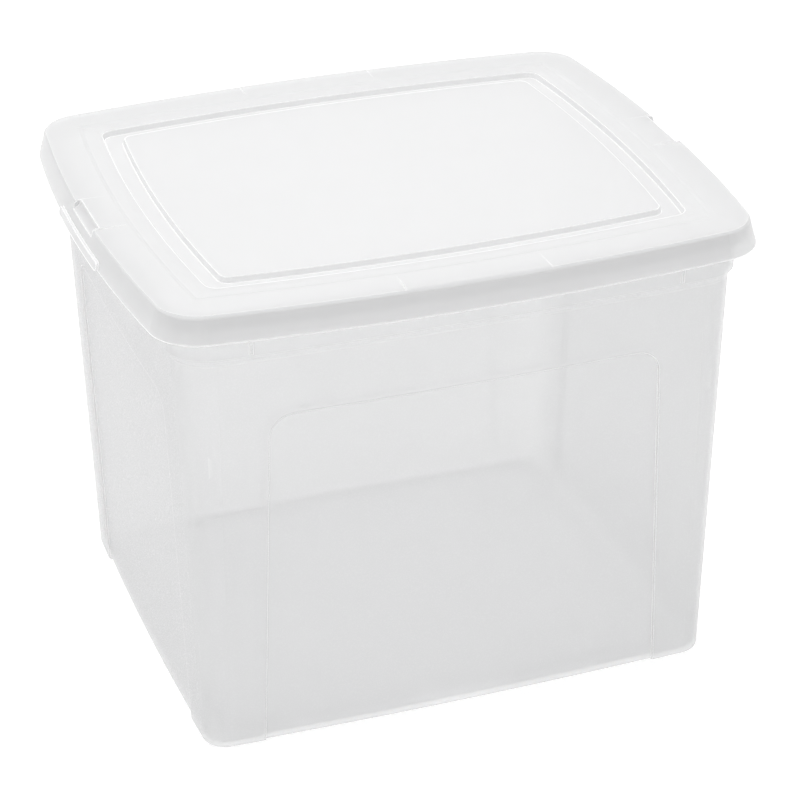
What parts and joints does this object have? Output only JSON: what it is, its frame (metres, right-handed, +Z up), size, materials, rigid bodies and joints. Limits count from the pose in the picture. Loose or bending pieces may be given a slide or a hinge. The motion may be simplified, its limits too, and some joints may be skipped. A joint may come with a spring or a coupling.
{
  "type": "portable file box",
  "caption": "Clear plastic portable file box with bowed drafted walls, a stepped neck and a lift-off lid with a sunk panel.",
  "frame": {"origin": "on the floor under the middle of the box", "axes": "+X along the long side, towards the right-hand pull lip; +Y away from the viewer, across the box; +Z up"},
  "size_m": [0.3596, 0.3098, 0.2781],
  "materials": {
    "clear_tub": "frosted clear polypropylene",
    "clear_lid": "frosted clear polypropylene"
  },
  "bodies": {
    "tub": {"tub": "clear_tub"},
    "lid": {"lid": "clear_lid"}
  },
  "joints": [
    {"name": "lift_lid", "type": "slide", "parent": "tub", "child": "lid", "axis": [0, 0, 1], "range_m": [0, 0.32]}
  ]
}
